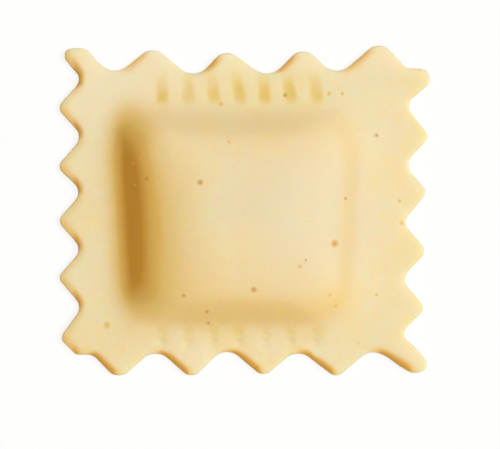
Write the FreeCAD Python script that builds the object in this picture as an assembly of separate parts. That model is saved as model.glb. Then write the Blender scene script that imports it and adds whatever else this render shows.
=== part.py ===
import FreeCAD, Part
import math
import os

# Ravioli: one sealed parcel of filled egg pasta, lying on its flat underside.
# Two sheets of dough close round the filling and are pressed together in a flat rim. The filling
# stands up as a pillow, the press leaves short furrows before and behind it, and a fluted
# cutter leaves round teeth all round. The sealed parcel is one solid.
# Sizes are in millimetres. +Z is up, +X is right and +Y is to the back. The sketch starts at the
# front left corner of the cut. The finished parcel stands centred on the origin.

# Pillow that the filling makes, with its size measured round the foot of its flanks. A flank's
# run is how far it leans in on its way up.
PILLOW_BACK_WIDTH = 32.4
PILLOW_FRONT_WIDTH = 29.6
PILLOW_DEPTH = 29.0
FRONT_CORNER_RADIUS = 4.4
BACK_CORNER_RADIUS = 2.6
TOP_CORNER_RADIUS = 5.0
HEIGHT = 8.0
FRONT_FLANK_RUN = 4.6
RIGHT_FLANK_RUN = 5.4
BACK_FLANK_RUN = 4.8
LEFT_FLANK_RUN = 4.0
CROWN_RADIUS = 72.0
SHOULDER_ROUND = 3.4
FOOT_ROUND = 2.0

# Pressed rim, from the pillow's foot to the line of the teeth's tips on each side
LEFT_RIM = 7.9
RIGHT_RIM = 9.4
FRONT_RIM = 6.8
BACK_RIM = 8.1
RIM_THICKNESS = 1.9
EDGE_BEVEL = 0.6
RIGHT_SIDE_LEAN = 0.85

# Fluted cut: teeth on each side, how deep they are, and the rounds of their tips and roots
TEETH = 4
FRONT_FLUTE_DEPTH = 3.0
FRONT_TIP_RADIUS = 1.5
FRONT_ROOT_RADIUS = 2.3
RIGHT_FLUTE_DEPTH = 2.6
RIGHT_TIP_RADIUS = 1.05
RIGHT_ROOT_RADIUS = 1.4
BACK_FLUTE_DEPTH = 3.0
BACK_TIP_RADIUS = 2.0
BACK_ROOT_RADIUS = 2.5
LEFT_FLUTE_DEPTH = 2.55
LEFT_TIP_RADIUS = 0.95
LEFT_ROOT_RADIUS = 1.5

# Distance from the corner of the cut to the first and the last root of each side
FRONT_FIRST_ROOT = 3.4
FRONT_LAST_ROOT = 7.1
RIGHT_FIRST_ROOT = 5.25
RIGHT_LAST_ROOT = 7.85
BACK_FIRST_ROOT = 1.7
BACK_LAST_ROOT = 7.5
LEFT_FIRST_ROOT = 3.9
LEFT_LAST_ROOT = 9.4

# Hand-cut unevenness: for a root (even number) or a tip (odd number) of a side, how far it lies
# along the side and outwards from its regular place, and how much larger its radius is
FRONT_UNEVEN = {1: (-0.15, 0, 0.4), 4: (0, -0.2, 0), 5: (0.1, -0.2, 0), 7: (0.3, 0, -0.3),
                8: (0.55, -0.15, 0)}
RIGHT_UNEVEN = {0: (0.35, 0.1, 0), 5: (0.25, 0, 0), 6: (0.05, 0.2, 0.3), 7: (0, 0.1, 0),
                8: (0.25, 0.1, 0)}
BACK_UNEVEN = {1: (-0.1, 0.6, 0), 2: (0.5, 0.2, 0), 3: (0, -0.2, 0), 4: (-0.2, -0.2, 0), 5: (0.1, -0.4, 0),
               6: (-0.4, -0.2, 0), 8: (0, 0.2, 0)}
LEFT_UNEVEN = {0: (0, -0.1, 0), 1: (0.1, 0, 0.1), 2: (0.2, -0.1, 0), 3: (0.35, 0, 0), 8: (0.2, -0.1, 0)}

# Tabs that the cutter leaves at the corners, as arcs (x and y from the corner of the cut, radius),
# in order round the outline, with a negative radius where the arc is a shallow root
FRONT_LEFT_TAB = [(1.2, 5.15, 0.9), (2.6, 3.65, 0.85), (4.0, 1.6, -1.2)]
FRONT_RIGHT_TAB = [(-1.7, 1.7, 1.25), (-1.1, 2.0, 1.55)]
BACK_RIGHT_TAB = [(-1.15, -3.9, 1.4), (-2.45, -1.5, -1.05)]
BACK_LEFT_TAB = [(2.97, -1.36, 1.5), (1.82, -1.02, 1.0)]

# Furrows that the press leaves in the rim, in a row before and a row behind the pillow
FURROWS = 7
FURROW_PITCH = 3.45
FURROW_GAP = 1.6
FURROW_LENGTH = 3.4
FURROW_RUN_IN = 0.8
FURROW_RADIUS = 0.9
FURROW_DEPTH = 0.5
BACK_FURROW_SLANT = 0.45

# Largest share of the way between a tip and a root that their two rounds may take up
FLANK_SHARE = 0.99
# How far a furrow's cutter runs on past where it leaves the rim, as a share of its run
FURROW_OVERRUN = 1.4

# Closest that a face's height has to come to be level with another
LEVEL_WITHIN = 1e-6

# The crown's sphere has its poles level, at the front and back, so that none lies in the crown
POLE = FreeCAD.Vector(0, 1, 0)

FLANK_RUNS = [FRONT_FLANK_RUN, RIGHT_FLANK_RUN, BACK_FLANK_RUN, LEFT_FLANK_RUN]
CUT_BACK_WIDTH = LEFT_RIM + PILLOW_BACK_WIDTH + RIGHT_RIM
CUT_DEPTH = FRONT_RIM + PILLOW_DEPTH + BACK_RIM
PILLOW_CENTRE_X = LEFT_RIM + PILLOW_BACK_WIDTH / 2
PILLOW_CENTRE_Y = FRONT_RIM + PILLOW_DEPTH / 2


def fluted_side(corner, next_corner, first_root, last_root, depth, tip_radius, root_radius,
                uneven, starts_with_root=True):
    """Roots and tips of one side, in turn, as arcs (centre, radius), the roots negative.

    The side runs from one corner of the cut to the next, along the line of the tips.
    """
    along = (next_corner - corner).normalize()
    out = FreeCAD.Vector(along.y, -along.x, 0)
    length = corner.distanceToPoint(next_corner)
    half_pitch = (length - first_root - last_root) / (2 * TEETH)
    arcs = []
    for i in range(0 if starts_with_root else 1, 2 * TEETH + 1):
        shift_along, shift_out, radius_change = uneven.get(i, (0.0, 0.0, 0.0))
        is_tip = i % 2 == 1
        radius = (tip_radius if is_tip else root_radius) + radius_change
        inward = radius if is_tip else depth - radius
        place = corner + along * (first_root + i * half_pitch + shift_along)
        arcs.append((place + out * (shift_out - inward), radius if is_tip else -radius))
    return arcs


def corner_tab(corner, arcs):
    """Arcs of one corner's tab, moved to the corner of the cut that they are measured from."""
    return [(corner + FreeCAD.Vector(x, y, 0), radius) for x, y, radius in arcs]


def with_flanks(arcs):
    """The arcs, with a tip and a root that would meet made smaller, to leave a flank between."""
    room = []
    for (centre, radius), (next_centre, next_radius) in zip(arcs, arcs[1:] + arcs[:1]):
        reach = max(abs(radius), abs(radius - next_radius))
        room.append(min(1.0, FLANK_SHARE * centre.distanceToPoint(next_centre) / reach))
    return [(centre, radius * min(room[i - 1], room[i])) for i, (centre, radius) in enumerate(arcs)]


def tangent_ring(arcs, z=0.0):
    """Closed wire, anticlockwise, of arcs joined by the straight lines that touch both.

    A positive radius turns the wire left, as round a tooth's tip, and a negative one right.
    """
    touches = []
    for (centre, radius), (next_centre, next_radius) in zip(arcs, arcs[1:] + arcs[:1]):
        span = next_centre - centre
        turn = math.asin((radius - next_radius) / span.Length)
        heading = math.atan2(span.y, span.x) + turn
        right = FreeCAD.Vector(math.sin(heading), -math.cos(heading), 0)
        touches.append((centre + right * radius, next_centre + right * next_radius))

    lift = FreeCAD.Vector(0, 0, z)
    edges = []
    for i, (centre, radius) in enumerate(arcs):
        arrive = touches[i - 1][1]
        leave = touches[i][0]
        bisector = (arrive - centre) + (leave - centre)
        middle = centre + bisector.normalize() * abs(radius)
        edges.append(Part.Arc(arrive + lift, middle + lift, leave + lift).toShape())
        edges.append(Part.makeLine(leave + lift, touches[i][1] + lift))
    return Part.Wire(edges)


def cut_outline():
    """The fluted outline that the cutter leaves, anticlockwise from the front left corner."""
    front_left = FreeCAD.Vector(0, 0, 0)
    front_right = FreeCAD.Vector(CUT_BACK_WIDTH - RIGHT_SIDE_LEAN, 0, 0)
    back_right = FreeCAD.Vector(CUT_BACK_WIDTH, CUT_DEPTH, 0)
    back_left = FreeCAD.Vector(0, CUT_DEPTH, 0)
    front = fluted_side(
        front_left, front_right, FRONT_FIRST_ROOT, FRONT_LAST_ROOT, FRONT_FLUTE_DEPTH,
        FRONT_TIP_RADIUS, FRONT_ROOT_RADIUS, FRONT_UNEVEN, starts_with_root=False,
    )
    right = fluted_side(
        front_right, back_right, RIGHT_FIRST_ROOT, RIGHT_LAST_ROOT, RIGHT_FLUTE_DEPTH,
        RIGHT_TIP_RADIUS, RIGHT_ROOT_RADIUS, RIGHT_UNEVEN,
    )
    back = fluted_side(
        back_right, back_left, BACK_FIRST_ROOT, BACK_LAST_ROOT, BACK_FLUTE_DEPTH,
        BACK_TIP_RADIUS, BACK_ROOT_RADIUS, BACK_UNEVEN, starts_with_root=False,
    )
    left = fluted_side(
        back_left, front_left, LEFT_FIRST_ROOT, LEFT_LAST_ROOT, LEFT_FLUTE_DEPTH,
        LEFT_TIP_RADIUS, LEFT_ROOT_RADIUS, LEFT_UNEVEN,
    )
    return tangent_ring(with_flanks(
        corner_tab(front_left, FRONT_LEFT_TAB) + front
        + corner_tab(front_right, FRONT_RIGHT_TAB) + right
        + corner_tab(back_right, BACK_RIGHT_TAB) + back
        + corner_tab(back_left, BACK_LEFT_TAB) + left
    ))


def pillow_section(runs, radii, z):
    """Level section of the pillow: its foot's front, right, back and left sides, each drawn in by
    its run, with round corners of the given radii, anticlockwise from the front left one."""
    front = FRONT_RIM
    back = FRONT_RIM + PILLOW_DEPTH
    corners = [
        FreeCAD.Vector(PILLOW_CENTRE_X - PILLOW_FRONT_WIDTH / 2, front, 0),
        FreeCAD.Vector(PILLOW_CENTRE_X + PILLOW_FRONT_WIDTH / 2, front, 0),
        FreeCAD.Vector(PILLOW_CENTRE_X + PILLOW_BACK_WIDTH / 2, back, 0),
        FreeCAD.Vector(PILLOW_CENTRE_X - PILLOW_BACK_WIDTH / 2, back, 0),
    ]
    arcs = []
    for i, radius in enumerate(radii):
        arrive = (corners[i] - corners[i - 1]).normalize()
        leave = (corners[(i + 1) % 4] - corners[i]).normalize()
        turn = arrive.cross(leave).z
        back_along = arrive * ((runs[i] + radius) / turn)
        on_along = leave * ((runs[i - 1] + radius) / turn)
        arcs.append((corners[i] - back_along + on_along, radius))
    return tangent_ring(arcs, z)


def leaning_solid(foot, top):
    """Solid between two level sections, with flat faces between their straight edges and ruled
    faces between their arcs."""
    faces = [Part.Face(foot), Part.Face(top)]
    for low, high in zip(foot.Edges, top.Edges):
        if isinstance(low.Curve, Part.Line):
            points = [low.firstVertex(True).Point, low.lastVertex(True).Point,
                      high.lastVertex(True).Point, high.firstVertex(True).Point]
            faces.append(Part.Face(Part.makePolygon(points + points[:1])))
        else:
            faces.append(Part.makeRuledSurface(low, high))
    shell = Part.makeCompound(faces)
    shell.sewShape()
    return Part.Solid(shell)


def pillow():
    """Filled middle of the parcel: leaning flanks under a low crown, round at the shoulder."""
    foot_radii = [FRONT_CORNER_RADIUS] * 2 + [BACK_CORNER_RADIUS] * 2
    flanks = leaning_solid(
        pillow_section([0] * 4, foot_radii, RIM_THICKNESS),
        pillow_section(FLANK_RUNS, [TOP_CORNER_RADIUS] * 4, HEIGHT),
    )
    crown_centre = FreeCAD.Vector(PILLOW_CENTRE_X, PILLOW_CENTRE_Y, HEIGHT - CROWN_RADIUS)
    body = flanks.common(Part.makeSphere(CROWN_RADIUS, crown_centre, POLE))
    shoulder = [
        edge for face in body.Faces if isinstance(face.Surface, Part.Sphere) for edge in face.Edges
    ]
    return body.makeFillet(SHOULDER_ROUND, shoulder)


def level_face(body, z):
    """The largest flat face of the body that lies at height z."""
    level = [
        face for face in body.Faces
        if face.BoundBox.ZLength < LEVEL_WITHIN and abs(face.BoundBox.ZMin - z) < LEVEL_WITHIN
    ]
    return max(level, key=lambda face: face.Area)


def furrow(x, foot_y, outwards, slant):
    """Cutter of one furrow: two rods that meet at its deepest point. One rises out of the rim
    towards the pillow, and the other, longer and flatter, rises away from it."""
    deepest = FreeCAD.Vector(
        x, foot_y + outwards * FURROW_GAP, RIM_THICKNESS + FURROW_RADIUS - FURROW_DEPTH
    )
    run_in = FreeCAD.Vector(0, -outwards * FURROW_RUN_IN, FURROW_DEPTH)
    run_out = FreeCAD.Vector(-slant, outwards * FURROW_LENGTH, FURROW_DEPTH)
    rods = [
        Part.makeCylinder(FURROW_RADIUS, FURROW_OVERRUN * run.Length, deepest, run)
        for run in (run_in, run_out)
    ]
    return rods[0].fuse(rods[1])


def furrow_rows():
    """Cutters of both rows, centred on the pillow."""
    cutters = []
    for i in range(FURROWS):
        x = PILLOW_CENTRE_X + (i - (FURROWS - 1) / 2) * FURROW_PITCH
        cutters.append(furrow(x, FRONT_RIM, -1, 0))
        cutters.append(furrow(x, FRONT_RIM + PILLOW_DEPTH, 1, BACK_FURROW_SLANT))
    return cutters


def build():
    """The whole parcel, centred on the origin and standing on its underside."""
    rim = Part.Face(cut_outline()).extrude(FreeCAD.Vector(0, 0, RIM_THICKNESS))
    body = rim.fuse(pillow()).removeSplitter()
    top = level_face(body, RIM_THICKNESS)
    foot = [e for wire in top.Wires if not wire.isSame(top.OuterWire) for e in wire.Edges]
    body = body.makeFillet(FOOT_ROUND, foot)
    body = body.makeChamfer(EDGE_BEVEL, level_face(body, RIM_THICKNESS).OuterWire.Edges)
    body = body.cut(furrow_rows())
    middle = body.optimalBoundingBox(False).Center
    return body.translated(FreeCAD.Vector(-middle.x, -middle.y, 0)).Solids[0]


parcel = build()
os.makedirs("parts", exist_ok=True)
parcel.exportStep("parts/ravioli.step")
print(parcel.ShapeType, parcel.isValid(), parcel.Volume, parcel.BoundBox)
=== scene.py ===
"""Dresses the ravioli: a sealed parcel of fresh egg dough, lit softly on a plain pale floor."""

import math

import bmesh
import bpy
from bpy.props import FloatProperty, FloatVectorProperty, IntProperty, PointerProperty
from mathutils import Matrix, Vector


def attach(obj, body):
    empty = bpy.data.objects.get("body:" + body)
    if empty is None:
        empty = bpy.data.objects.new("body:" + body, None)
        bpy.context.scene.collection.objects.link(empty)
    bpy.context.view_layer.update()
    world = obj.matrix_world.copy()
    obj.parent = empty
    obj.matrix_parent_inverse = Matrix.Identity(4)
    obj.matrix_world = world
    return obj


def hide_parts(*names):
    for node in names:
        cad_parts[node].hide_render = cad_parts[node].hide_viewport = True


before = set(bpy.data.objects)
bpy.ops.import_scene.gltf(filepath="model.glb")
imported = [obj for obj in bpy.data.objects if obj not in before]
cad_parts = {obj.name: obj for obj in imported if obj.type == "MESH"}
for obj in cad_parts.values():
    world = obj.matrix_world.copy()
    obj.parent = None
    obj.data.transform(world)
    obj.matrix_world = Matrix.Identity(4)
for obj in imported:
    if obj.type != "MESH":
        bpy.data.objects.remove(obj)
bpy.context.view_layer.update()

bl_info = {
    "name": "Ravioli",
    "version": (1, 0, 0),
    "blender": (4, 5, 0),
    "location": "3D View > Sidebar > Ravioli",
    "description": "A fluted square ravioli of fresh egg dough, with its floor, light and camera",
    "category": "Add Mesh",
}

MM = 0.001

# The imported solid that the dough is made from, its body, and the dough's own piece
SOLID = "ravioli"
BODY = "root"
PIECE = "dough_parcel"

# Corners of the solid's triangles that are nearer than this are one point
WELD = 0.001 * MM

# Heights on the parcel, from its underside
RIM_TOP = 1.9 * MM
SEAM_HEIGHT = 0.85 * MM

# The floor lies this far under the parcel, so that the two faces don't lie in one plane
FLOOR_GAP = 0.02 * MM
FLOOR_SIDES = 96

# What the camera leaves out: nearer than this share of its distance to the parcel, and farther
# than this many radii of the floor
NEAREST = 0.01
FARTHEST = 10

# Names of the attributes that one step of the dough's skin keeps for a later one
FURROW = "furrow"
EDGE = "edge"
TO_LEFT = "to_left"

# Names of the attributes that the dough's surface carries for its material
# Painted shade on the pillow's flank that faces away from the softbox
SHADED = "stretched"
# Golden flanks: partly the dough's colour and partly painted shade
GOLDEN = "golden"
# The dough's inside at the cut edge, and painted shade on its sides away from the softbox
CUT_AND_SHADE = "cut_edge"
# Painted shade in the notches on the left
NOTCH_SHADE = "notch_root"

# Below, a ramp is written as the two values between which a share changes, and then, where it
# doesn't go from 0 to 1, as the shares that it goes from and to. Places are as on the parcel: X to
# the right, Y to the back and Z up, from the middle of its underside. A tilt or a lean is a part
# of the skin's normal, and a spread is how many times a value is evened out along the skin.

# Middle of the noise, which goes from 0 to 1
NOISE_MIDDLE = 0.5

# The two rows of furrows that the press leaves, before and behind the pillow, the spacing of the
# furrows, and how far they are filled in
ROW_REACH = (19.0 * MM, 18.5 * MM)
ROW_HALF_LENGTH = (14.5 * MM, 13.5 * MM)
FURROW_PITCH = 3.45 * MM
FURROW_CENTRE = -0.65 * MM
FURROW_SPREAD = 6
FURROW_FILL = 0.65

# The cut edge, by its tilt and its height, the way that its sides in shade face, away from the
# softbox, and how far its bevel is filled in
EDGE_TILT = (0.9, 0.75)
EDGE_TOP = RIM_TOP + 0.05 * MM
EDGE_SPREAD = 16
OUTLINE_SOFTENING = 2
SHADED_SIDE = (-0.9, -0.65, 0.0)
SHADED_SIDE_AT_BACK = (15.0 * MM, 18.0 * MM, -0.70, -1.20)
BEVEL_DEPTH = 0.6 * MM
BEVEL_FOOT = 1.0 * MM
BEVEL_FILL = 0.75
BEVEL_SPREAD = 2

# Tabs at two corners that are fuller than the solid's: the middle of the tab's end, and how far
# it is drawn out, in millimetres
TABS = (
    ((22.4, -20.3), (0.65, -0.45)),
    ((-23.2, 20.9), (-0.20, 0.30)),
)
TAB_REACH = (3.6 * MM, 0.8 * MM)
TAB_SWELL = 0.30

# Filling that fills out the pillow's back left corner, where the pillow is evened out less, at the
# front of its foot and on the left, and the tilt up to which it stays as it is
FULL_CORNER = (-12.8 * MM, 9.6 * MM, 5.0 * MM)
FULL_CORNER_REACH = (6.5 * MM, 1.0 * MM, 0.0, 1.2 * MM)
FULL_CORNER_RISE = (0.0, 1.0 * MM)
BEHIND_FOOT = (-15.0 * MM, -8.0 * MM)
ABOVE_FOOT = (0.5 * MM, 3.5 * MM, 0.12, 1.0)
FOOT_LEFT_END = (-11.5 * MM, -14.0 * MM)
LEFT_FLANK = (-17.5 * MM, -12.0 * MM, 0.12, 1.0)
FACES_UP = (0.0, 0.3)

# Painted shade on the pillow's flank on the left, which faces away from the softbox, and a golden
# tint, partly the dough's own colour and partly painted shade: how strong it is there, in front,
# at the back, in the crease at the foot on the right, and at two corners
PILLOW_FOOT = (RIM_TOP - 0.10 * MM, RIM_TOP + 0.05 * MM)
SHADE_RISE = (2.0 * MM, 2.4 * MM, 0.2, 1.0)
SHADE_BACK_END = (14.0 * MM, 4.0 * MM, 0.60, 1.0)
SHADE_FRONT_END = (-14.5 * MM, -9.5 * MM, 0.45, 1.0)
RIGHT_FOOT_HEIGHT = (5.2 * MM, 3.0 * MM)
RIGHT_FOOT_LEAN = (0.05, 0.50)
SHADE_IN_RIGHT_FOOT = 0.08
GOLDEN_IN_FRONT = 0.42
GOLDEN_AT_BACK = 0.20
GOLDEN_IN_SHADE = 0.30
GOLDEN_IN_RIGHT_FOOT = 0.10
GOLDEN_CORNERS = (
    ((-15.4 * MM, 11.9 * MM, 3.0 * MM), 0.16),
    ((-14.6 * MM, -13.2 * MM, 3.0 * MM), 0.10),
)
GOLDEN_CORNER_REACH = (4.5 * MM, 0.5 * MM)
SHADE_SPREAD = 30
GOLDEN_SPREAD = 25

# The dough's inside, which the cut edge shows, and painted shade on the edge's sides that face
# away from the softbox, darkest in the notches on the left
CUT_TILT = (0.8, 0.1)
CUT_HEIGHT = (RIM_TOP + 0.3 * MM, RIM_TOP)
CUT_SHARE = 0.28
LEAST_EDGE = 0.02
SHADE_BAND_SIDE = (0.10, 0.90)
SHADE_BAND_EDGE = (0.02, 0.55)
SHADE_BAND_LEFT_END = (-21.0 * MM, -18.0 * MM, 0.7, 1.0)
NOTCH_SHADE_PLACE = (-23.4 * MM, -22.5 * MM)
NOTCH_SHADE_SIDE = (0.55, 0.80)
NOTCH_SHADE_EDGE = (0.12, 0.70)

# Lumps of filling, stronger on the pillow, ripples of the dough, and the seam of its two sheets:
# the detail and the seed of their noise, and their reach
LUMP_NOISE = {"detail": 1.0, "seed": 4.0}
LUMP_RISE = (0.0, 3.0 * MM, 0.35, 1.35)
RIPPLE_NOISE = {"detail": 2.5, "seed": 1.0}
SEAM_REACH = (0.35 * MM, 0.0)
OFF_UNDERSIDE = (-0.9, -0.5)

# Floury and moist patches of the dough, wide and fine
PATCH_SIZE = 6 * MM
PATCH_NOISE = {"detail": 3.0, "seed": 2.0}
MOTTLE_SIZE = 1.1 * MM
MOTTLE_NOISE = {"detail": 3.0, "seed": 5.0}
PATCH_SHARE = 0.55
MOTTLE_SHARE = 0.45
MOIST = (0.34, 0.66)
PATCH_EDGE = 8 * MM

# Painted sheen and painted shade: a greyer, less red patch on the crown and the right shoulder,
# where the softbox lights the dough most; and floury teeth at the back, most in the corner on the
# left
SHEEN_PLACE = (8.5 * MM, 0.5 * MM, 7.5 * MM)
SHEEN_REACH = (15 * MM, 4 * MM)
FLOURY_PLACE = (-20.5 * MM, 17.5 * MM, 2 * MM)
FLOURY_REACH = (13 * MM, 3 * MM)
FLOURY_BACK = (17.0 * MM, 20.5 * MM, 0.0, 0.9)
FLOURY_SHARE = 0.7

# Values of the surface's attributes between which each colour comes in, and its most
GOLDEN_FADE = (0.02, 0.42)
TAN_FADE = (0.03, 0.32)
SHADED_FADE = (0.26, 0.69)
CUT_MOST = 0.9
NOTCH_SHADE_MOST = 0.9

# Streaks of painted shade in the furrows, which the skin fills in: their slant behind the pillow,
# their wobble, their width, the ends of their rows, and how strong they are
SLANT_START = 15 * MM
SLANT = 0.12
WOBBLE = 1.2 * MM
STREAK_WIDTH = (-0.9, 1.0)
STREAK_ROW_END = (12.2 * MM, 11.7 * MM)
BACK_ROW_START = (13.4 * MM, 15.4 * MM)
BACK_ROW_END = (20.2 * MM, 15.6 * MM)
FRONT_ROW_END = (-19.5 * MM, -16.0 * MM)
FRONT_ROW_START = (-14.5 * MM, -16.0 * MM)
FRONT_ROW_SHARE = 0.55
STREAK_FADE = (0.05, 1.05)
STREAK_PATCHES = (0.30, 0.60, 0.36, 0.74)

# Finer flecks, scattered: their spacing, how far each reaches as a share of it, which ones are
# left out, and how strong the rest are
SPECKLE_SPACING = 2.2 * MM
SPECKLE_REACH = (0.085, 0.035)
SPECKLE_RARE = 0.72
SPECKLE_SHARE = 0.25

# Grain of the flour and pores of the dough, in the bump of its surface
GRAIN_SIZE = 0.35 * MM
GRAIN_NOISE = {"detail": 3.0, "seed": 7.0}
GRAIN_SHARE = 0.6
PORE_SPACING = 0.9 * MM
PORE_REACH = (0.05, 0.30)
PORE_SHARE = 0.25
BUMP_STRENGTH = 0.6
BUMP_DEPTH = 0.07 * MM

# How far red, green and blue light spreads inside the dough, as shares of the light's depth
LIGHT_SPREAD = (1.0, 0.6, 0.25)

# How a fleck fades, from its rim to its middle, over its distance from the middle in radii
FLECK_FADE = (1.9, 0.2, 0.0, 0.8)

# Flecks of bran, yolk, straw and flour on the dough: kind, then place to the right and to the
# back of the parcel's middle, and width, in millimetres
FLECKS = (
    ("bran", -5.9, 3.7, 0.60),
    ("yolk", 12.0, -4.4, 0.75),
    ("bran", 1.2, -10.5, 0.60),
    ("straw", -18.5, -15.4, 0.75),
    ("bran", -13.0, 4.2, 0.50),
    ("bran", 13.5, 1.6, 0.36),
    ("bran", 17.7, 10.1, 0.45),
    ("straw", 7.3, -7.4, 0.50),
    ("bran", 8.1, -6.6, 0.28),
    ("bran", -14.1, -9.1, 0.50),
    ("bran", -8.1, -11.3, 0.40),
    ("bran", -5.0, -13.5, 0.36),
    ("bran", -4.9, -15.1, 0.36),
    ("straw", 12.2, -12.8, 0.36),
    ("straw", 11.4, -11.3, 0.36),
    ("straw", -3.2, 14.3, 0.52),
    ("bran", 5.4, 15.5, 0.46),
    ("straw", 11.3, 15.7, 0.50),
    ("straw", 13.1, 15.7, 0.42),
    ("straw", -2.1, 9.1, 0.34),
    ("straw", 20.8, 1.3, 0.40),
    ("straw", 21.1, -1.7, 0.46),
    ("straw", 17.7, -11.3, 0.36),
    ("flour", -14.9, 6.3, 0.36),
    ("flour", -13.9, 6.8, 0.34),
    ("flour", -13.4, 9.8, 0.40),
    ("flour", -12.1, 1.1, 0.38),
    ("flour", -12.6, -5.6, 0.36),
    ("flour", -14.6, 3.4, 0.30),
)


class DoughSettings(bpy.types.PropertyGroup):
    """Shape and finish of the dough."""

    skin_step: FloatProperty(
        name="Skin Step", description="Spacing of the points of the dough's skin",
        default=0.25 * MM, min=0.15 * MM, max=1 * MM, precision=5, unit="LENGTH",
    )
    edge_softening: IntProperty(
        name="Edge Softening", description="How many times the whole skin is evened out",
        default=6, min=0, max=50,
    )
    pillow_softening: IntProperty(
        name="Pillow Softening", description="How many more times the pillow's skin is evened out",
        default=600, min=0, max=1000,
    )
    lump_height: FloatProperty(
        name="Lump Height", description="How far the filling pushes the pillow's skin in and out",
        default=0.30 * MM, min=0, max=1 * MM, precision=5, unit="LENGTH",
    )
    lump_size: FloatProperty(
        name="Lump Size", description="Distance from one lump of the filling to the next",
        default=9 * MM, min=2 * MM, max=30 * MM, precision=4, unit="LENGTH",
    )
    ripple_height: FloatProperty(
        name="Ripple Height", description="How uneven the rolled dough is",
        default=0.07 * MM, min=0, max=0.5 * MM, precision=5, unit="LENGTH",
    )
    ripple_size: FloatProperty(
        name="Ripple Size", description="Distance from one unevenness of the dough to the next",
        default=2.6 * MM, min=0.5 * MM, max=10 * MM, precision=4, unit="LENGTH",
    )
    seam_depth: FloatProperty(
        name="Seam Depth", description="Depth of the seam of the two sheets in the cut edge",
        default=0.10 * MM, min=0, max=0.3 * MM, precision=5, unit="LENGTH",
    )
    pale_colour: FloatVectorProperty(
        name="Pale Dough", description="Colour of the dough where it is floury and dry",
        default=(0.872, 0.766, 0.515), min=0, max=1, subtype="COLOR",
    )
    # Painted sheen and painted shade on the crown and right shoulder, where the softbox lights the
    # dough most
    dry_colour: FloatVectorProperty(
        name="Dry Dough", description="Colour of the dry patch on the crown",
        default=(0.820, 0.710, 0.480), min=0, max=1, subtype="COLOR",
    )
    floury_colour: FloatVectorProperty(
        name="Floury Dough", description="Colour of the floury teeth at the back",
        default=(0.930, 0.800, 0.570), min=0, max=1, subtype="COLOR",
    )
    egg_colour: FloatVectorProperty(
        name="Egg Dough", description="Colour of the dough where it is moist",
        default=(0.885, 0.730, 0.410), min=0, max=1, subtype="COLOR",
    )
    # Painted shade on the pillow's left flank, which faces away from the softbox
    stretched_colour: FloatVectorProperty(
        name="Stretched Dough", description="Colour of the dough drawn down over the filling",
        default=(0.715, 0.350, 0.028), min=0, max=1, subtype="COLOR",
    )
    # Partly the dough's colour and partly painted shade, most in front, on the left and in the
    # crease at the foot on the right
    golden_colour: FloatVectorProperty(
        name="Golden Dough", description="Colour of the dough where it starts to draw down",
        default=(0.878, 0.592, 0.172), min=0, max=1, subtype="COLOR",
    )
    # Painted shade half way into the dark of the left flank
    tan_colour: FloatVectorProperty(
        name="Tan Dough", description="Colour of the dough half way to being stretched",
        default=(0.788, 0.545, 0.150), min=0, max=1, subtype="COLOR",
    )
    # Painted shade in the furrows
    furrow_shade_colour: FloatVectorProperty(
        name="Pressed Dough", description="Colour of the dough in the press's furrows",
        default=(0.810, 0.580, 0.120), min=0, max=1, subtype="COLOR",
    )
    # The dough's inside, and the painted shade on the cut edge's sides away from the softbox
    cut_colour: FloatVectorProperty(
        name="Cut Dough", description="Colour of the dough inside, at the cut edge",
        default=(0.900, 0.500, 0.080), min=0, max=1, subtype="COLOR",
    )
    # Painted shade in the notches on the left
    root_colour: FloatVectorProperty(
        name="Notch Dough", description="Colour of the dough's inside in the notches on the left",
        default=(0.620, 0.340, 0.040), min=0, max=1, subtype="COLOR",
    )
    bran_colour: FloatVectorProperty(
        name="Bran Flecks", description="Colour of the flecks of bran",
        default=(0.620, 0.335, 0.050), min=0, max=1, subtype="COLOR",
    )
    yolk_colour: FloatVectorProperty(
        name="Yolk Flecks", description="Colour of the flecks of yolk",
        default=(0.740, 0.320, 0.010), min=0, max=1, subtype="COLOR",
    )
    straw_colour: FloatVectorProperty(
        name="Straw Flecks", description="Colour of the flecks of straw",
        default=(0.800, 0.530, 0.120), min=0, max=1, subtype="COLOR",
    )
    flour_colour: FloatVectorProperty(
        name="Flour Flecks", description="Colour of the flecks of dry flour",
        default=(0.790, 0.500, 0.110), min=0, max=1, subtype="COLOR",
    )
    roughness: FloatProperty(
        name="Roughness", description="Roughness of the dough's faint gloss",
        default=0.50, min=0, max=1, subtype="FACTOR",
    )
    gloss: FloatProperty(
        name="Gloss", description="Strength of the dough's faint gloss",
        default=0.15, min=0, max=1, subtype="FACTOR",
    )
    light_depth: FloatProperty(
        name="Light Depth", description="How far red light spreads inside the dough",
        default=2.0 * MM, min=0, max=20 * MM, precision=4, unit="LENGTH",
    )


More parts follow.
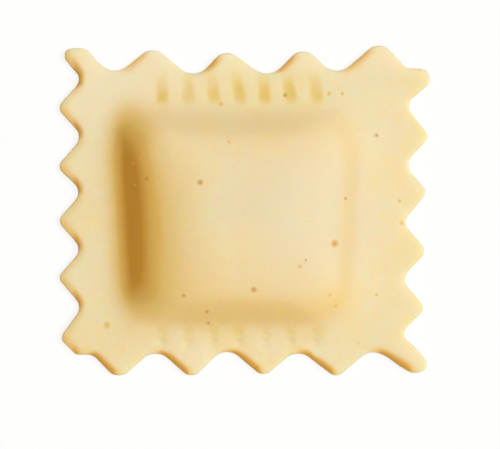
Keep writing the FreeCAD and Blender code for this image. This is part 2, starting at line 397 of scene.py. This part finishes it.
class StageSettings(bpy.types.PropertyGroup):
    """Floor, light and camera."""

    light_azimuth: FloatProperty(
        name="Light Azimuth", description="Where the softbox stands, anticlockwise from the right",
        default=math.radians(2), subtype="ANGLE",
    )
    light_elevation: FloatProperty(
        name="Light Elevation", description="Height of the softbox above the floor, as an angle",
        default=math.radians(67), subtype="ANGLE",
    )
    light_distance: FloatProperty(
        name="Light Distance", description="Distance of the softbox from the ravioli",
        default=1.60, min=0.05, unit="LENGTH",
    )
    light_size: FloatProperty(
        name="Light Size", description="Width and height of the softbox",
        default=0.60, min=0.01, unit="LENGTH",
    )
    light_level: FloatProperty(
        name="Light Level", description="Brightness that the softbox alone gives a white floor",
        default=0.73, min=0,
    )
    fill_colour: FloatVectorProperty(
        name="Fill Colour", description="Colour and level of the light from all round",
        default=(0.29, 0.27, 0.23), min=0, max=1, subtype="COLOR",
    )
    floor_colour: FloatVectorProperty(
        name="Floor Colour", description="Colour of the floor",
        default=(0.96, 0.96, 0.96), min=0, max=1, subtype="COLOR",
    )
    floor_glow: FloatProperty(
        name="Floor Glow", description="Share of plain white in what is seen of the floor",
        default=0.86, min=0, max=1, subtype="FACTOR",
    )
    floor_radius: FloatProperty(
        name="Floor Radius", description="Radius of the round floor",
        default=4.0, min=0.1, unit="LENGTH",
    )
    lens: FloatProperty(
        name="Lens", description="Focal length of the camera, in millimetres", default=200, min=10,
    )
    view_width: FloatProperty(
        name="View Width", description="Width of what the camera sees at the rim's top",
        default=67.17 * MM, min=10 * MM, unit="LENGTH",
    )
    view_centre: FloatVectorProperty(
        name="View Centre", description="Place on the parcel that the middle of the view shows",
        size=2, default=(0.70 * MM, -1.87 * MM), unit="LENGTH",
    )


class Wiring:
    """Adds nodes to a tree. An input may be given a value, or another node's output."""

    def __init__(self, tree):
        self.tree = tree

    def add(self, kind, inputs=None, **settings):
        node = self.tree.nodes.new(kind)
        for name, value in settings.items():
            setattr(node, name, value)
        for name, value in (inputs or {}).items():
            self.feed(node.inputs[name], value)
        return node

    def feed(self, socket, value):
        if isinstance(value, bpy.types.NodeSocket):
            self.tree.links.new(value, socket)
        else:
            socket.default_value = value

    def math(self, operation, *values):
        node = self.add("ShaderNodeMath", operation=operation)
        for socket, value in zip(node.inputs, values):
            self.feed(socket, value)
        return node.outputs[0]

    def chain(self, operation, first, *others):
        for other in others:
            first = self.math(operation, first, other)
        return first

    def times(self, *values):
        return self.chain("MULTIPLY", *values)

    def plus(self, *values):
        return self.chain("ADD", *values)

    def minus(self, *values):
        return self.chain("SUBTRACT", *values)

    def most(self, *values):
        return self.chain("MAXIMUM", *values)

    def vector(self, operation, *values, output="Vector"):
        node = self.add("ShaderNodeVectorMath", operation=operation)
        for socket, value in zip(node.inputs, values):
            self.feed(socket, value)
        return node.outputs[output]

    def length(self, vector):
        return self.vector("LENGTH", vector, output="Value")

    def distance(self, first, second):
        return self.vector("DISTANCE", first, second, output="Value")

    def scaled(self, vector, factor):
        node = self.add("ShaderNodeVectorMath", operation="SCALE",
                        inputs={0: vector, "Scale": factor})
        return node.outputs["Vector"]

    def split(self, vector):
        """The vector's X, Y and Z."""
        outputs = self.add("ShaderNodeSeparateXYZ", inputs={0: vector}).outputs
        return outputs["X"], outputs["Y"], outputs["Z"]

    def ramp(self, value, low, high, to_low=0.0, to_high=1.0):
        """Value eased from to_low to to_high as it goes from low to high."""
        node = self.add("ShaderNodeMapRange", interpolation_type="SMOOTHSTEP")
        for name, number in (("Value", value), ("From Min", low), ("From Max", high),
                             ("To Min", to_low), ("To Max", to_high)):
            self.feed(node.inputs[name], number)
        return node.outputs["Result"]

    def slope(self, value, low, high):
        """Value that goes evenly from 0 to 1 as it goes from low to high."""
        node = self.add("ShaderNodeMapRange")
        for name, number in (("Value", value), ("From Min", low), ("From Max", high)):
            self.feed(node.inputs[name], number)
        return node.outputs["Result"]

    def noise(self, place, size, detail, seed):
        """Smooth noise from 0 to 1, with patches about as wide as size."""
        node = self.add(
            "ShaderNodeTexNoise", noise_dimensions="4D",
            inputs={"Vector": place, "W": seed, "Detail": detail},
        )
        self.feed(node.inputs["Scale"], self.math("DIVIDE", 1.0, size))
        return node.outputs[0]

    def swing(self, place, size, detail, seed):
        """The same noise, from half below 0 to half above."""
        return self.minus(self.noise(place, size, detail, seed), NOISE_MIDDLE)

    def mix(self, share, first, second):
        """Colour that goes from the first to the second as share goes from 0 to 1."""
        node = self.add("ShaderNodeMix", data_type="RGBA")
        self.feed(node.inputs["Factor"], share)
        colours = [socket for socket in node.inputs if socket.type == "RGBA"]
        for socket, value in zip(colours, (first, second)):
            self.feed(socket, (*value, 1.0) if isinstance(value, tuple) else value)
        return next(socket for socket in node.outputs if socket.type == "RGBA")


class SkinWiring(Wiring):
    """Geometry nodes of the dough's skin. Each step takes the skin and gives it back changed."""

    def __init__(self, tree):
        super().__init__(tree)
        self.given = self.add("NodeGroupInput").outputs
        self.place = self.add("GeometryNodeInputPosition").outputs["Position"]
        self.across, self.depth, self.height = self.split(self.place)
        self.normal = self.add("GeometryNodeInputNormal").outputs["Normal"]
        self.to_right, self.to_back, self.up = self.split(self.normal)

        self.below_rim = self.most(self.minus(self.given["Rim Top"], self.height), 0.0)
        self.rise = self.most(self.minus(self.height, self.given["Rim Top"]), 0.0)
        self.in_rows = self.times(
            self.ramp(self.math("ABSOLUTE", self.depth), *ROW_REACH),
            self.ramp(self.math("ABSOLUTE", self.across), *ROW_HALF_LENGTH),
        )
        self.out_of_rows = self.minus(1.0, self.in_rows)
        self.cut = self.times(self.ramp(self.up, *CUT_TILT), self.ramp(self.height, *CUT_HEIGHT))

    def spread(self, value, times, kind="FLOAT", weight=1.0):
        """The value, evened out with its neighbours' so many times."""
        blur = self.add("GeometryNodeBlurAttribute", data_type=kind,
                        inputs={"Iterations": times, "Weight": weight})
        self.feed(blur.inputs[0], value)
        return blur.outputs[0]

    def keep(self, skin, name, value):
        return self.add(
            "GeometryNodeStoreNamedAttribute", data_type="FLOAT", domain="POINT",
            inputs={"Geometry": skin, "Name": name, "Value": value},
        ).outputs["Geometry"]

    def kept(self, name):
        return self.add("GeometryNodeInputNamedAttribute", data_type="FLOAT",
                        inputs={"Name": name}).outputs["Attribute"]

    def put(self, skin, **places):
        """Moves the skin's points, by an Offset or to a Position."""
        return self.add("GeometryNodeSetPosition",
                        inputs={"Geometry": skin, **places}).outputs["Geometry"]

    def mark_edge(self, skin):
        """Keeps the furrows' depth, the cut edge, and how far it faces away from the softbox,
        where shade is painted, as they are before anything is evened out."""
        furrow = self.times(self.below_rim, self.in_rows, self.math("GREATER_THAN", self.up, 0.0))
        edge = self.times(
            self.ramp(self.up, *EDGE_TILT),
            self.math("LESS_THAN", self.height, EDGE_TOP),
            self.out_of_rows,
        )
        to_left = self.most(
            self.vector("DOT_PRODUCT", self.normal, SHADED_SIDE, output="Value"),
            self.times(self.to_right, self.ramp(self.depth, *SHADED_SIDE_AT_BACK)),
        )
        skin = self.keep(skin, FURROW, self.spread(furrow, FURROW_SPREAD))
        skin = self.keep(skin, EDGE, self.spread(edge, EDGE_SPREAD))
        return self.keep(skin, TO_LEFT, self.spread(self.times(to_left, edge), EDGE_SPREAD))

    def even_out(self, skin):
        """Evens out the skin all over, but its outline hardly, and fills in the furrows and the
        edge's bevel a little."""
        x, y, _ = self.split(self.spread(self.place, OUTLINE_SOFTENING, "FLOAT_VECTOR"))
        _, _, z = self.split(self.spread(self.place, self.given["Edge Softening"], "FLOAT_VECTOR"))
        bevel = self.times(
            self.math("MINIMUM", self.below_rim, BEVEL_DEPTH),
            self.ramp(self.height, BEVEL_FOOT, RIM_TOP - BEVEL_DEPTH),
            self.out_of_rows,
        )
        filled = self.plus(
            self.times(self.kept(FURROW), FURROW_FILL),
            self.times(self.spread(bevel, BEVEL_SPREAD), BEVEL_FILL),
        )
        level = self.plus(z, filled)
        evened = self.add("ShaderNodeCombineXYZ", inputs={"X": x, "Y": y, "Z": level})
        return self.put(skin, Position=evened.outputs[0])

    def fill_tabs(self, skin):
        """Draws out and swells the corner tabs that are fuller than the solid's."""
        for end, pull in TABS:
            middle = (end[0] * MM, end[1] * MM, 0.0)
            apart = self.vector("MULTIPLY", self.vector("SUBTRACT", self.place, middle), (1, 1, 0))
            swell = self.vector("MULTIPLY", apart, (TAB_SWELL, TAB_SWELL, 0))
            moved = self.vector("ADD", swell, (pull[0] * MM, pull[1] * MM, 0.0))
            near = self.ramp(self.length(apart), *TAB_REACH)
            skin = self.put(skin, Offset=self.scaled(moved, near))
        return skin

    def soften_pillow(self, skin):
        """Evens out the pillow's rise above the rim by itself, least at the front of its foot and
        on the left, with some more filling in its back left corner."""
        filling = self.times(
            self.ramp(self.distance(self.place, FULL_CORNER), *FULL_CORNER_REACH),
            self.ramp(self.rise, *FULL_CORNER_RISE),
        )
        at_foot = self.most(
            self.ramp(self.depth, *BEHIND_FOOT),
            self.ramp(self.rise, *ABOVE_FOOT),
            self.ramp(self.across, *FOOT_LEFT_END),
        )
        even_rise = self.spread(
            self.plus(self.rise, filling), self.given["Pillow Softening"],
            weight=self.times(at_foot, self.ramp(self.across, *LEFT_FLANK)),
        )
        change = self.times(self.minus(even_rise, self.rise), self.ramp(self.up, *FACES_UP))
        lift = self.add("ShaderNodeCombineXYZ", inputs={"Z": change})
        return self.put(skin, Offset=lift.outputs[0])

    def mark_pillow(self, skin):
        """Keeps where shade is painted on the pillow's flanks that face away from the softbox,
        most on the left, and where they are golden, partly the dough's colour and partly painted
        shade: in front, at the back, in the crease at the foot on the right, and at two corners of
        the pillow."""
        # Painted shade on the sides that face away from the softbox, above the rim, short of the
        # back and the front
        drawn = self.times(
            self.most(self.times(self.to_right, -1.0), 0.0),
            self.ramp(self.height, *SHADE_RISE),
            self.ramp(self.depth, *SHADE_BACK_END),
            self.ramp(self.depth, *SHADE_FRONT_END),
        )
        # Painted shade in the crease at the pillow's foot on the right
        right_foot = self.times(self.ramp(self.height, *RIGHT_FOOT_HEIGHT),
                                self.ramp(self.to_right, *RIGHT_FOOT_LEAN))
        golden = self.plus(
            self.times(self.most(self.times(self.to_back, -1.0), 0.0), GOLDEN_IN_FRONT),
            self.times(self.most(self.to_back, 0.0), GOLDEN_AT_BACK),
            self.times(drawn, GOLDEN_IN_SHADE),
            self.times(right_foot, GOLDEN_IN_RIGHT_FOOT),
        )
        # Painted shade at the pillow's two left corners, where the left flank's shade fades out
        for corner, most in GOLDEN_CORNERS:
            near = self.ramp(self.distance(self.place, corner), *GOLDEN_CORNER_REACH, 0.0, most)
            golden = self.plus(golden, near)
        drawn = self.plus(drawn, self.times(right_foot, SHADE_IN_RIGHT_FOOT))

        on_pillow = self.ramp(self.height, *PILLOW_FOOT)
        skin = self.keep(skin, SHADED, self.spread(self.times(drawn, on_pillow), SHADE_SPREAD))
        return self.keep(skin, GOLDEN, self.spread(self.times(golden, on_pillow), GOLDEN_SPREAD))

    def mark_cut(self, skin):
        """Keeps where the cut edge shows the dough's inside, and where shade is painted on its
        sides away from the softbox, darkest in the notches on the left.
        """
        edge = self.kept(EDGE)
        share = self.math("DIVIDE", self.kept(TO_LEFT), self.most(edge, LEAST_EDGE))
        band = self.times(self.ramp(share, *SHADE_BAND_SIDE), self.ramp(edge, *SHADE_BAND_EDGE),
                          self.ramp(self.across, *SHADE_BAND_LEFT_END))
        # Painted shade in the notches on the left
        root = self.times(self.ramp(self.across, *NOTCH_SHADE_PLACE), self.ramp(share, *NOTCH_SHADE_SIDE),
                          self.ramp(edge, *NOTCH_SHADE_EDGE))
        skin = self.keep(skin, CUT_AND_SHADE, self.most(band, self.times(self.cut, CUT_SHARE)))
        return self.keep(skin, NOTCH_SHADE, root)

    def roughen(self, skin):
        """Adds the lumps of filling, the dough's own unevenness and the seam of the cut edge."""
        given = self.given
        lumps = self.times(
            self.swing(self.place, given["Lump Size"], **LUMP_NOISE),
            self.times(given["Lump Height"], self.ramp(self.rise, *LUMP_RISE)),
        )
        ripples = self.times(self.swing(self.place, given["Ripple Size"], **RIPPLE_NOISE),
                             given["Ripple Height"])
        from_seam = self.math("ABSOLUTE", self.minus(self.height, given["Seam Height"]))
        seam = self.times(self.cut, self.ramp(from_seam, *SEAM_REACH), given["Seam Depth"])
        out = self.times(self.minus(self.plus(lumps, ripples), seam),
                         self.ramp(self.up, *OFF_UNDERSIDE))
        return self.put(skin, Offset=self.scaled(self.normal, out))


def skin_tree(material):
    """Geometry nodes that turn the smooth solid's skin into soft, uneven dough."""
    tree = bpy.data.node_groups.new("dough_skin", "GeometryNodeTree")
    new_socket = tree.interface.new_socket
    new_socket("Skin", in_out="INPUT", socket_type="NodeSocketGeometry")
    for name in ("Edge Softening", "Pillow Softening"):
        new_socket(name, in_out="INPUT", socket_type="NodeSocketInt")
    for name in ("Rim Top", "Lump Height", "Lump Size", "Ripple Height", "Ripple Size",
                 "Seam Height", "Seam Depth"):
        new_socket(name, in_out="INPUT", socket_type="NodeSocketFloat")
    new_socket("Dough", in_out="OUTPUT", socket_type="NodeSocketGeometry")

    wiring = SkinWiring(tree)
    skin = wiring.given["Skin"]
    for step in (wiring.mark_edge, wiring.even_out, wiring.fill_tabs, wiring.soften_pillow,
                 wiring.mark_pillow, wiring.mark_cut, wiring.roughen):
        skin = step(skin)

    smooth = wiring.add("GeometryNodeSetShadeSmooth", inputs={0: skin})
    real = wiring.add("GeometryNodeRealizeInstances", inputs={0: smooth.outputs[0]})
    painted = wiring.add(
        "GeometryNodeSetMaterial", inputs={"Geometry": real.outputs[0], "Material": material}
    )
    out = wiring.add("NodeGroupOutput")
    wiring.feed(out.inputs[0], painted.outputs[0])
    return tree


def fleck_group():
    """Shader group that puts one soft, round fleck on the dough's colour."""
    tree = bpy.data.node_groups.new("fleck", "ShaderNodeTree")
    for name, kind in (("Colour", "Color"), ("Fleck Colour", "Color"), ("Place", "Vector"),
                       ("Centre", "Vector"), ("Radius", "Float")):
        tree.interface.new_socket(name, in_out="INPUT", socket_type="NodeSocket" + kind)
    tree.interface.new_socket("Colour", in_out="OUTPUT", socket_type="NodeSocketColor")

    wiring = Wiring(tree)
    given = wiring.add("NodeGroupInput").outputs
    apart = wiring.vector("SUBTRACT", given["Place"], given["Centre"])
    flat = wiring.vector("MULTIPLY", apart, (1, 1, 0))
    reach = wiring.math("DIVIDE", wiring.length(flat), given["Radius"])
    share = wiring.ramp(reach, *FLECK_FADE)
    out = wiring.add("NodeGroupOutput")
    wiring.feed(out.inputs[0], wiring.mix(share, given["Colour"], given["Fleck Colour"]))
    return tree


class DoughWiring(Wiring):
    """Shader nodes of the dough. Each layer takes the colour and gives it back changed."""

    def __init__(self, tree, dough):
        super().__init__(tree)
        self.dough = dough
        self.place = self.add("ShaderNodeTexCoord").outputs["Object"]
        self.across, self.depth, _ = self.split(self.place)
        self.patches = self.noise(self.place, PATCH_SIZE, **PATCH_NOISE)

    def colour(self, name):
        return tuple(getattr(self.dough, name + "_colour"))

    def marked(self, name):
        """Value of the surface's attribute."""
        return self.add("ShaderNodeAttribute", attribute_name=name).outputs["Fac"]

    def moist_dough(self):
        """Colour of the dough by itself, in floury and moist patches, wide and fine."""
        mottle = self.noise(self.place, MOTTLE_SIZE, **MOTTLE_NOISE)
        moist = self.plus(self.times(self.patches, PATCH_SHARE), self.times(mottle, MOTTLE_SHARE))
        return self.mix(self.ramp(moist, *MOIST), self.colour("pale"), self.colour("egg"))

    def flour(self, base):
        """Painted sheen and shade on the crown and the right shoulder, where the softbox lights
        the dough most, and floury teeth at the back.
        """
        edge = self.times(self.minus(self.patches, NOISE_MIDDLE), PATCH_EDGE)
        from_patch = self.plus(self.distance(self.place, SHEEN_PLACE), edge)
        # Painted sheen and painted shade where the softbox lights the crown and the right shoulder
        # most
        base = self.mix(self.ramp(from_patch, *SHEEN_REACH), base, self.colour("dry"))
        from_corner = self.plus(self.distance(self.place, FLOURY_PLACE), edge)
        floury = self.most(self.ramp(from_corner, *FLOURY_REACH),
                           self.ramp(self.depth, *FLOURY_BACK))
        return self.mix(self.times(floury, FLOURY_SHARE), base, self.colour("floury"))

    def stretched(self, base):
        """Golden tint on the flanks, partly the dough's colour and partly painted shade, then
        painted shade, tan to dark, on the flank that faces away from the softbox.
        """
        # Golden tint: partly the dough's colour and partly painted shade
        base = self.mix(self.slope(self.marked(GOLDEN), *GOLDEN_FADE), base, self.colour("golden"))
        drawn = self.marked(SHADED)
        base = self.mix(self.slope(drawn, *TAN_FADE), base, self.colour("tan"))
        return self.mix(self.slope(drawn, *SHADED_FADE), base, self.colour("stretched"))

    def streaks(self, base):
        """Long, soft streaks of painted shade in the furrows, strong behind the pillow and faint
        before it.
        """
        behind = self.most(self.minus(self.depth, SLANT_START), 0.0)
        wobble = self.times(self.minus(self.patches, NOISE_MIDDLE), WOBBLE)
        at = self.plus(self.minus(self.across, FURROW_CENTRE),
                       self.plus(self.times(behind, SLANT), wobble))
        turns = self.times(at, math.tau / FURROW_PITCH)
        wave = self.times(
            self.ramp(self.math("COSINE", turns), *STREAK_WIDTH),
            self.ramp(self.math("ABSOLUTE", at), *STREAK_ROW_END),
        )
        back_row = self.times(self.ramp(self.depth, *BACK_ROW_START),
                              self.ramp(self.depth, *BACK_ROW_END))
        front_row = self.times(self.ramp(self.depth, *FRONT_ROW_END),
                               self.ramp(self.depth, *FRONT_ROW_START))
        rows = self.plus(back_row, self.times(front_row, FRONT_ROW_SHARE))
        streak = self.times(self.ramp(self.times(wave, rows), *STREAK_FADE),
                            self.ramp(self.patches, *STREAK_PATCHES))
        return self.mix(streak, base, self.colour("furrow_shade"))

    def cut(self, base):
        """The dough's inside at the cut edge, with painted shade on its sides away from the
        softbox, darkest in the notches on the left.
        """
        edge = self.times(self.marked(CUT_AND_SHADE), CUT_MOST)
        base = self.mix(edge, base, self.colour("cut"))
        root = self.times(self.marked(NOTCH_SHADE), NOTCH_SHADE_MOST)
        return self.mix(root, base, self.colour("root"))

    def flecks(self, base):
        """Flecks by name, and a scatter of finer ones."""
        group = fleck_group()
        for kind, x, y, width in FLECKS:
            base = self.add("ShaderNodeGroup", node_tree=group, inputs={
                "Colour": base, "Fleck Colour": (*self.colour(kind), 1.0), "Place": self.place,
                "Centre": (x * MM, y * MM, 0.0), "Radius": width / 2 * MM,
            }).outputs["Colour"]

        grains = self.add("ShaderNodeTexVoronoi",
                          inputs={"Vector": self.place, "Scale": 1 / SPECKLE_SPACING}).outputs
        chosen = self.add("ShaderNodeSeparateColor", inputs={0: grains["Color"]}).outputs[0]
        speckle = self.times(
            self.ramp(grains["Distance"], *SPECKLE_REACH),
            self.math("GREATER_THAN", chosen, SPECKLE_RARE),
            SPECKLE_SHARE,
        )
        return self.mix(speckle, base, self.colour("bran"))

    def bump(self):
        """Fine grain of the flour, and the pores of the dough."""
        grain = self.noise(self.place, GRAIN_SIZE, **GRAIN_NOISE)
        pores = self.add("ShaderNodeTexVoronoi", feature="SMOOTH_F1",
                         inputs={"Vector": self.place, "Scale": 1 / PORE_SPACING})
        pits = self.ramp(pores.outputs["Distance"], *PORE_REACH)
        relief = self.plus(self.times(grain, GRAIN_SHARE), self.times(pits, PORE_SHARE))
        return self.add("ShaderNodeBump", inputs={
            "Height": relief, "Strength": BUMP_STRENGTH, "Distance": BUMP_DEPTH,
        }).outputs["Normal"]


def dough_material(dough):
    """Fresh egg dough: pale and mottled, golden on the pillow's flanks and at the cut edge, with
    painted shade on the sides away from the softbox and in the furrows, painted sheen on the
    crown, flecks, a fine grain and light that spreads inside it."""
    material = bpy.data.materials.new("egg_dough")
    material.use_nodes = True
    material.node_tree.nodes.clear()
    wiring = DoughWiring(material.node_tree, dough)
    base = wiring.moist_dough()
    for layer in (wiring.flour, wiring.stretched, wiring.streaks, wiring.cut, wiring.flecks):
        base = layer(base)

    skin = wiring.add("ShaderNodeBsdfPrincipled", subsurface_method="RANDOM_WALK", inputs={
        "Base Color": base,
        "Normal": wiring.bump(),
        "Roughness": dough.roughness,
        "Specular IOR Level": dough.gloss,
        "Subsurface Weight": 1.0,
        "Subsurface Radius": LIGHT_SPREAD,
        "Subsurface Scale": dough.light_depth,
    })
    out = wiring.add("ShaderNodeOutputMaterial")
    wiring.feed(out.inputs["Surface"], skin.outputs["BSDF"])
    return material


def merged_copy(solid, name):
    """New object with the solid's skin, its loose triangles merged into one closed mesh."""
    skin = bmesh.new()
    skin.from_mesh(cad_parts[solid].data)
    bmesh.ops.remove_doubles(skin, verts=skin.verts, dist=WELD)
    mesh = bpy.data.meshes.new(name)
    skin.to_mesh(mesh)
    skin.free()
    piece = bpy.data.objects.new(name, mesh)
    bpy.context.scene.collection.objects.link(piece)
    return piece


def settle(piece):
    """Turns the piece's live modifiers into its plain mesh."""
    graph = bpy.context.evaluated_depsgraph_get()
    mesh = bpy.data.meshes.new_from_object(piece.evaluated_get(graph), depsgraph=graph)
    piece.modifiers.clear()
    piece.data = mesh


class RAVIOLI_OT_parcel(bpy.types.Operator):
    """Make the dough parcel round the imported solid"""

    bl_idname = "ravioli.parcel"
    bl_label = "Dough Parcel"
    bl_options = {"REGISTER", "UNDO"}

    def execute(self, context):
        dough = context.scene.ravioli_dough
        piece = merged_copy(SOLID, PIECE)
        skin = piece.modifiers.new("skin", "REMESH")
        skin.mode = "VOXEL"
        skin.voxel_size = dough.skin_step

        tree = skin_tree(dough_material(dough))
        values = {
            "Edge Softening": dough.edge_softening,
            "Pillow Softening": dough.pillow_softening,
            "Rim Top": RIM_TOP,
            "Lump Height": dough.lump_height,
            "Lump Size": dough.lump_size,
            "Ripple Height": dough.ripple_height,
            "Ripple Size": dough.ripple_size,
            "Seam Height": SEAM_HEIGHT,
            "Seam Depth": dough.seam_depth,
        }
        surface = piece.modifiers.new("surface", "NODES")
        surface.node_group = tree
        for socket in tree.interface.items_tree:
            if socket.name in values:
                surface[socket.identifier] = values[socket.name]
        settle(piece)
        if not piece.data.polygons:
            raise RuntimeError("the dough parcel came out empty")

        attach(piece, BODY)
        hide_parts(SOLID)
        return {"FINISHED"}


def white_rays(wiring):
    """1 for what is seen, straight or in a gloss or through a glass, and 0 for the light."""
    rays = wiring.add("ShaderNodeLightPath").outputs
    return wiring.most(
        rays["Is Camera Ray"], rays["Is Glossy Ray"], rays["Is Transmission Ray"]
    )


def add_floor(stage):
    """Round pale floor under the parcel, which keeps a soft shadow."""
    disc = bmesh.new()
    bmesh.ops.create_circle(disc, cap_ends=True, segments=FLOOR_SIDES,
                             radius=stage.floor_radius)
    bmesh.ops.translate(disc, verts=disc.verts, vec=(0, 0, -FLOOR_GAP))
    mesh = bpy.data.meshes.new("floor")
    disc.to_mesh(mesh)
    disc.free()
    floor = bpy.data.objects.new("floor", mesh)
    bpy.context.scene.collection.objects.link(floor)

    material = bpy.data.materials.new("pale_floor")
    material.use_nodes = True
    material.node_tree.nodes.clear()
    wiring = Wiring(material.node_tree)
    card = wiring.add("ShaderNodeBsdfDiffuse", inputs={"Color": (*stage.floor_colour, 1.0)})
    glow = wiring.add("ShaderNodeEmission", inputs={"Strength": 1.0})
    share = wiring.times(white_rays(wiring), stage.floor_glow)
    both = wiring.add("ShaderNodeMixShader", inputs={0: share})
    wiring.feed(both.inputs[1], card.outputs[0])
    wiring.feed(both.inputs[2], glow.outputs[0])
    out = wiring.add("ShaderNodeOutputMaterial")
    wiring.feed(out.inputs["Surface"], both.outputs[0])
    mesh.materials.append(material)


def add_world(stage):
    """Low light from all round, in front of a white background."""
    world = bpy.data.worlds.new("studio")
    world.use_nodes = True
    world.node_tree.nodes.clear()
    wiring = Wiring(world.node_tree)
    fill = wiring.add("ShaderNodeBackground", inputs={"Color": (*stage.fill_colour, 1.0)})
    white = wiring.add("ShaderNodeBackground", inputs={"Color": (1.0, 1.0, 1.0, 1.0)})
    both = wiring.add("ShaderNodeMixShader", inputs={0: white_rays(wiring)})
    wiring.feed(both.inputs[1], fill.outputs[0])
    wiring.feed(both.inputs[2], white.outputs[0])
    out = wiring.add("ShaderNodeOutputWorld")
    wiring.feed(out.inputs["Surface"], both.outputs[0])
    bpy.context.scene.world = world


def add_softbox(stage):
    """Square soft light high above the parcel, to its right and a little behind it."""
    level = math.cos(stage.light_elevation)
    direction = Vector((
        level * math.cos(stage.light_azimuth),
        level * math.sin(stage.light_azimuth),
        math.sin(stage.light_elevation),
    ))
    lamp = bpy.data.lights.new("softbox", "AREA")
    lamp.shape = "SQUARE"
    lamp.size = stage.light_size
    spread = math.pi * stage.light_distance ** 2
    lamp.energy = stage.light_level * math.pi * spread / math.sin(stage.light_elevation)
    box = bpy.data.objects.new("softbox", lamp)
    box.location = direction * stage.light_distance
    box.rotation_euler = direction.to_track_quat("Z", "Y").to_euler()
    bpy.context.scene.collection.objects.link(box)


def add_camera(stage):
    """Camera that looks straight down on the parcel through a long lens."""
    camera = bpy.data.cameras.new("camera")
    camera.lens = stage.lens
    distance = stage.view_width * camera.lens / camera.sensor_width
    camera.clip_start = distance * NEAREST
    camera.clip_end = stage.floor_radius * FARTHEST
    eye = bpy.data.objects.new("camera", camera)
    eye.location = (stage.view_centre[0], stage.view_centre[1], RIM_TOP + distance)
    bpy.context.scene.collection.objects.link(eye)
    bpy.context.scene.camera = eye


class RAVIOLI_OT_stage(bpy.types.Operator):
    """Make the floor, the light and the camera"""

    bl_idname = "ravioli.stage"
    bl_label = "Stage"
    bl_options = {"REGISTER", "UNDO"}

    def execute(self, context):
        stage = context.scene.ravioli_stage
        add_floor(stage)
        add_world(stage)
        add_softbox(stage)
        add_camera(stage)
        context.scene.view_settings.view_transform = "Standard"
        return {"FINISHED"}


class RAVIOLI_PT_panel(bpy.types.Panel):
    """The ravioli's pieces, stage and settings"""

    bl_label = "Ravioli"
    bl_idname = "RAVIOLI_PT_panel"
    bl_space_type = "VIEW_3D"
    bl_region_type = "UI"
    bl_category = "Ravioli"

    def draw(self, context):
        for settings, operator in (
            (context.scene.ravioli_dough, RAVIOLI_OT_parcel),
            (context.scene.ravioli_stage, RAVIOLI_OT_stage),
        ):
            box = self.layout.box()
            box.operator(operator.bl_idname)
            for name in settings.__annotations__:
                box.prop(settings, name)


CLASSES = (
    DoughSettings,
    StageSettings,
    RAVIOLI_OT_parcel,
    RAVIOLI_OT_stage,
    RAVIOLI_PT_panel,
)


def register():
    for cls in CLASSES:
        bpy.utils.register_class(cls)
    bpy.types.Scene.ravioli_dough = PointerProperty(type=DoughSettings)
    bpy.types.Scene.ravioli_stage = PointerProperty(type=StageSettings)


def unregister():
    del bpy.types.Scene.ravioli_stage
    del bpy.types.Scene.ravioli_dough
    for cls in reversed(CLASSES):
        bpy.utils.unregister_class(cls)


def main():
    register()
    bpy.ops.ravioli.parcel()
    bpy.ops.ravioli.stage()


if __name__ == "__main__":
    main()
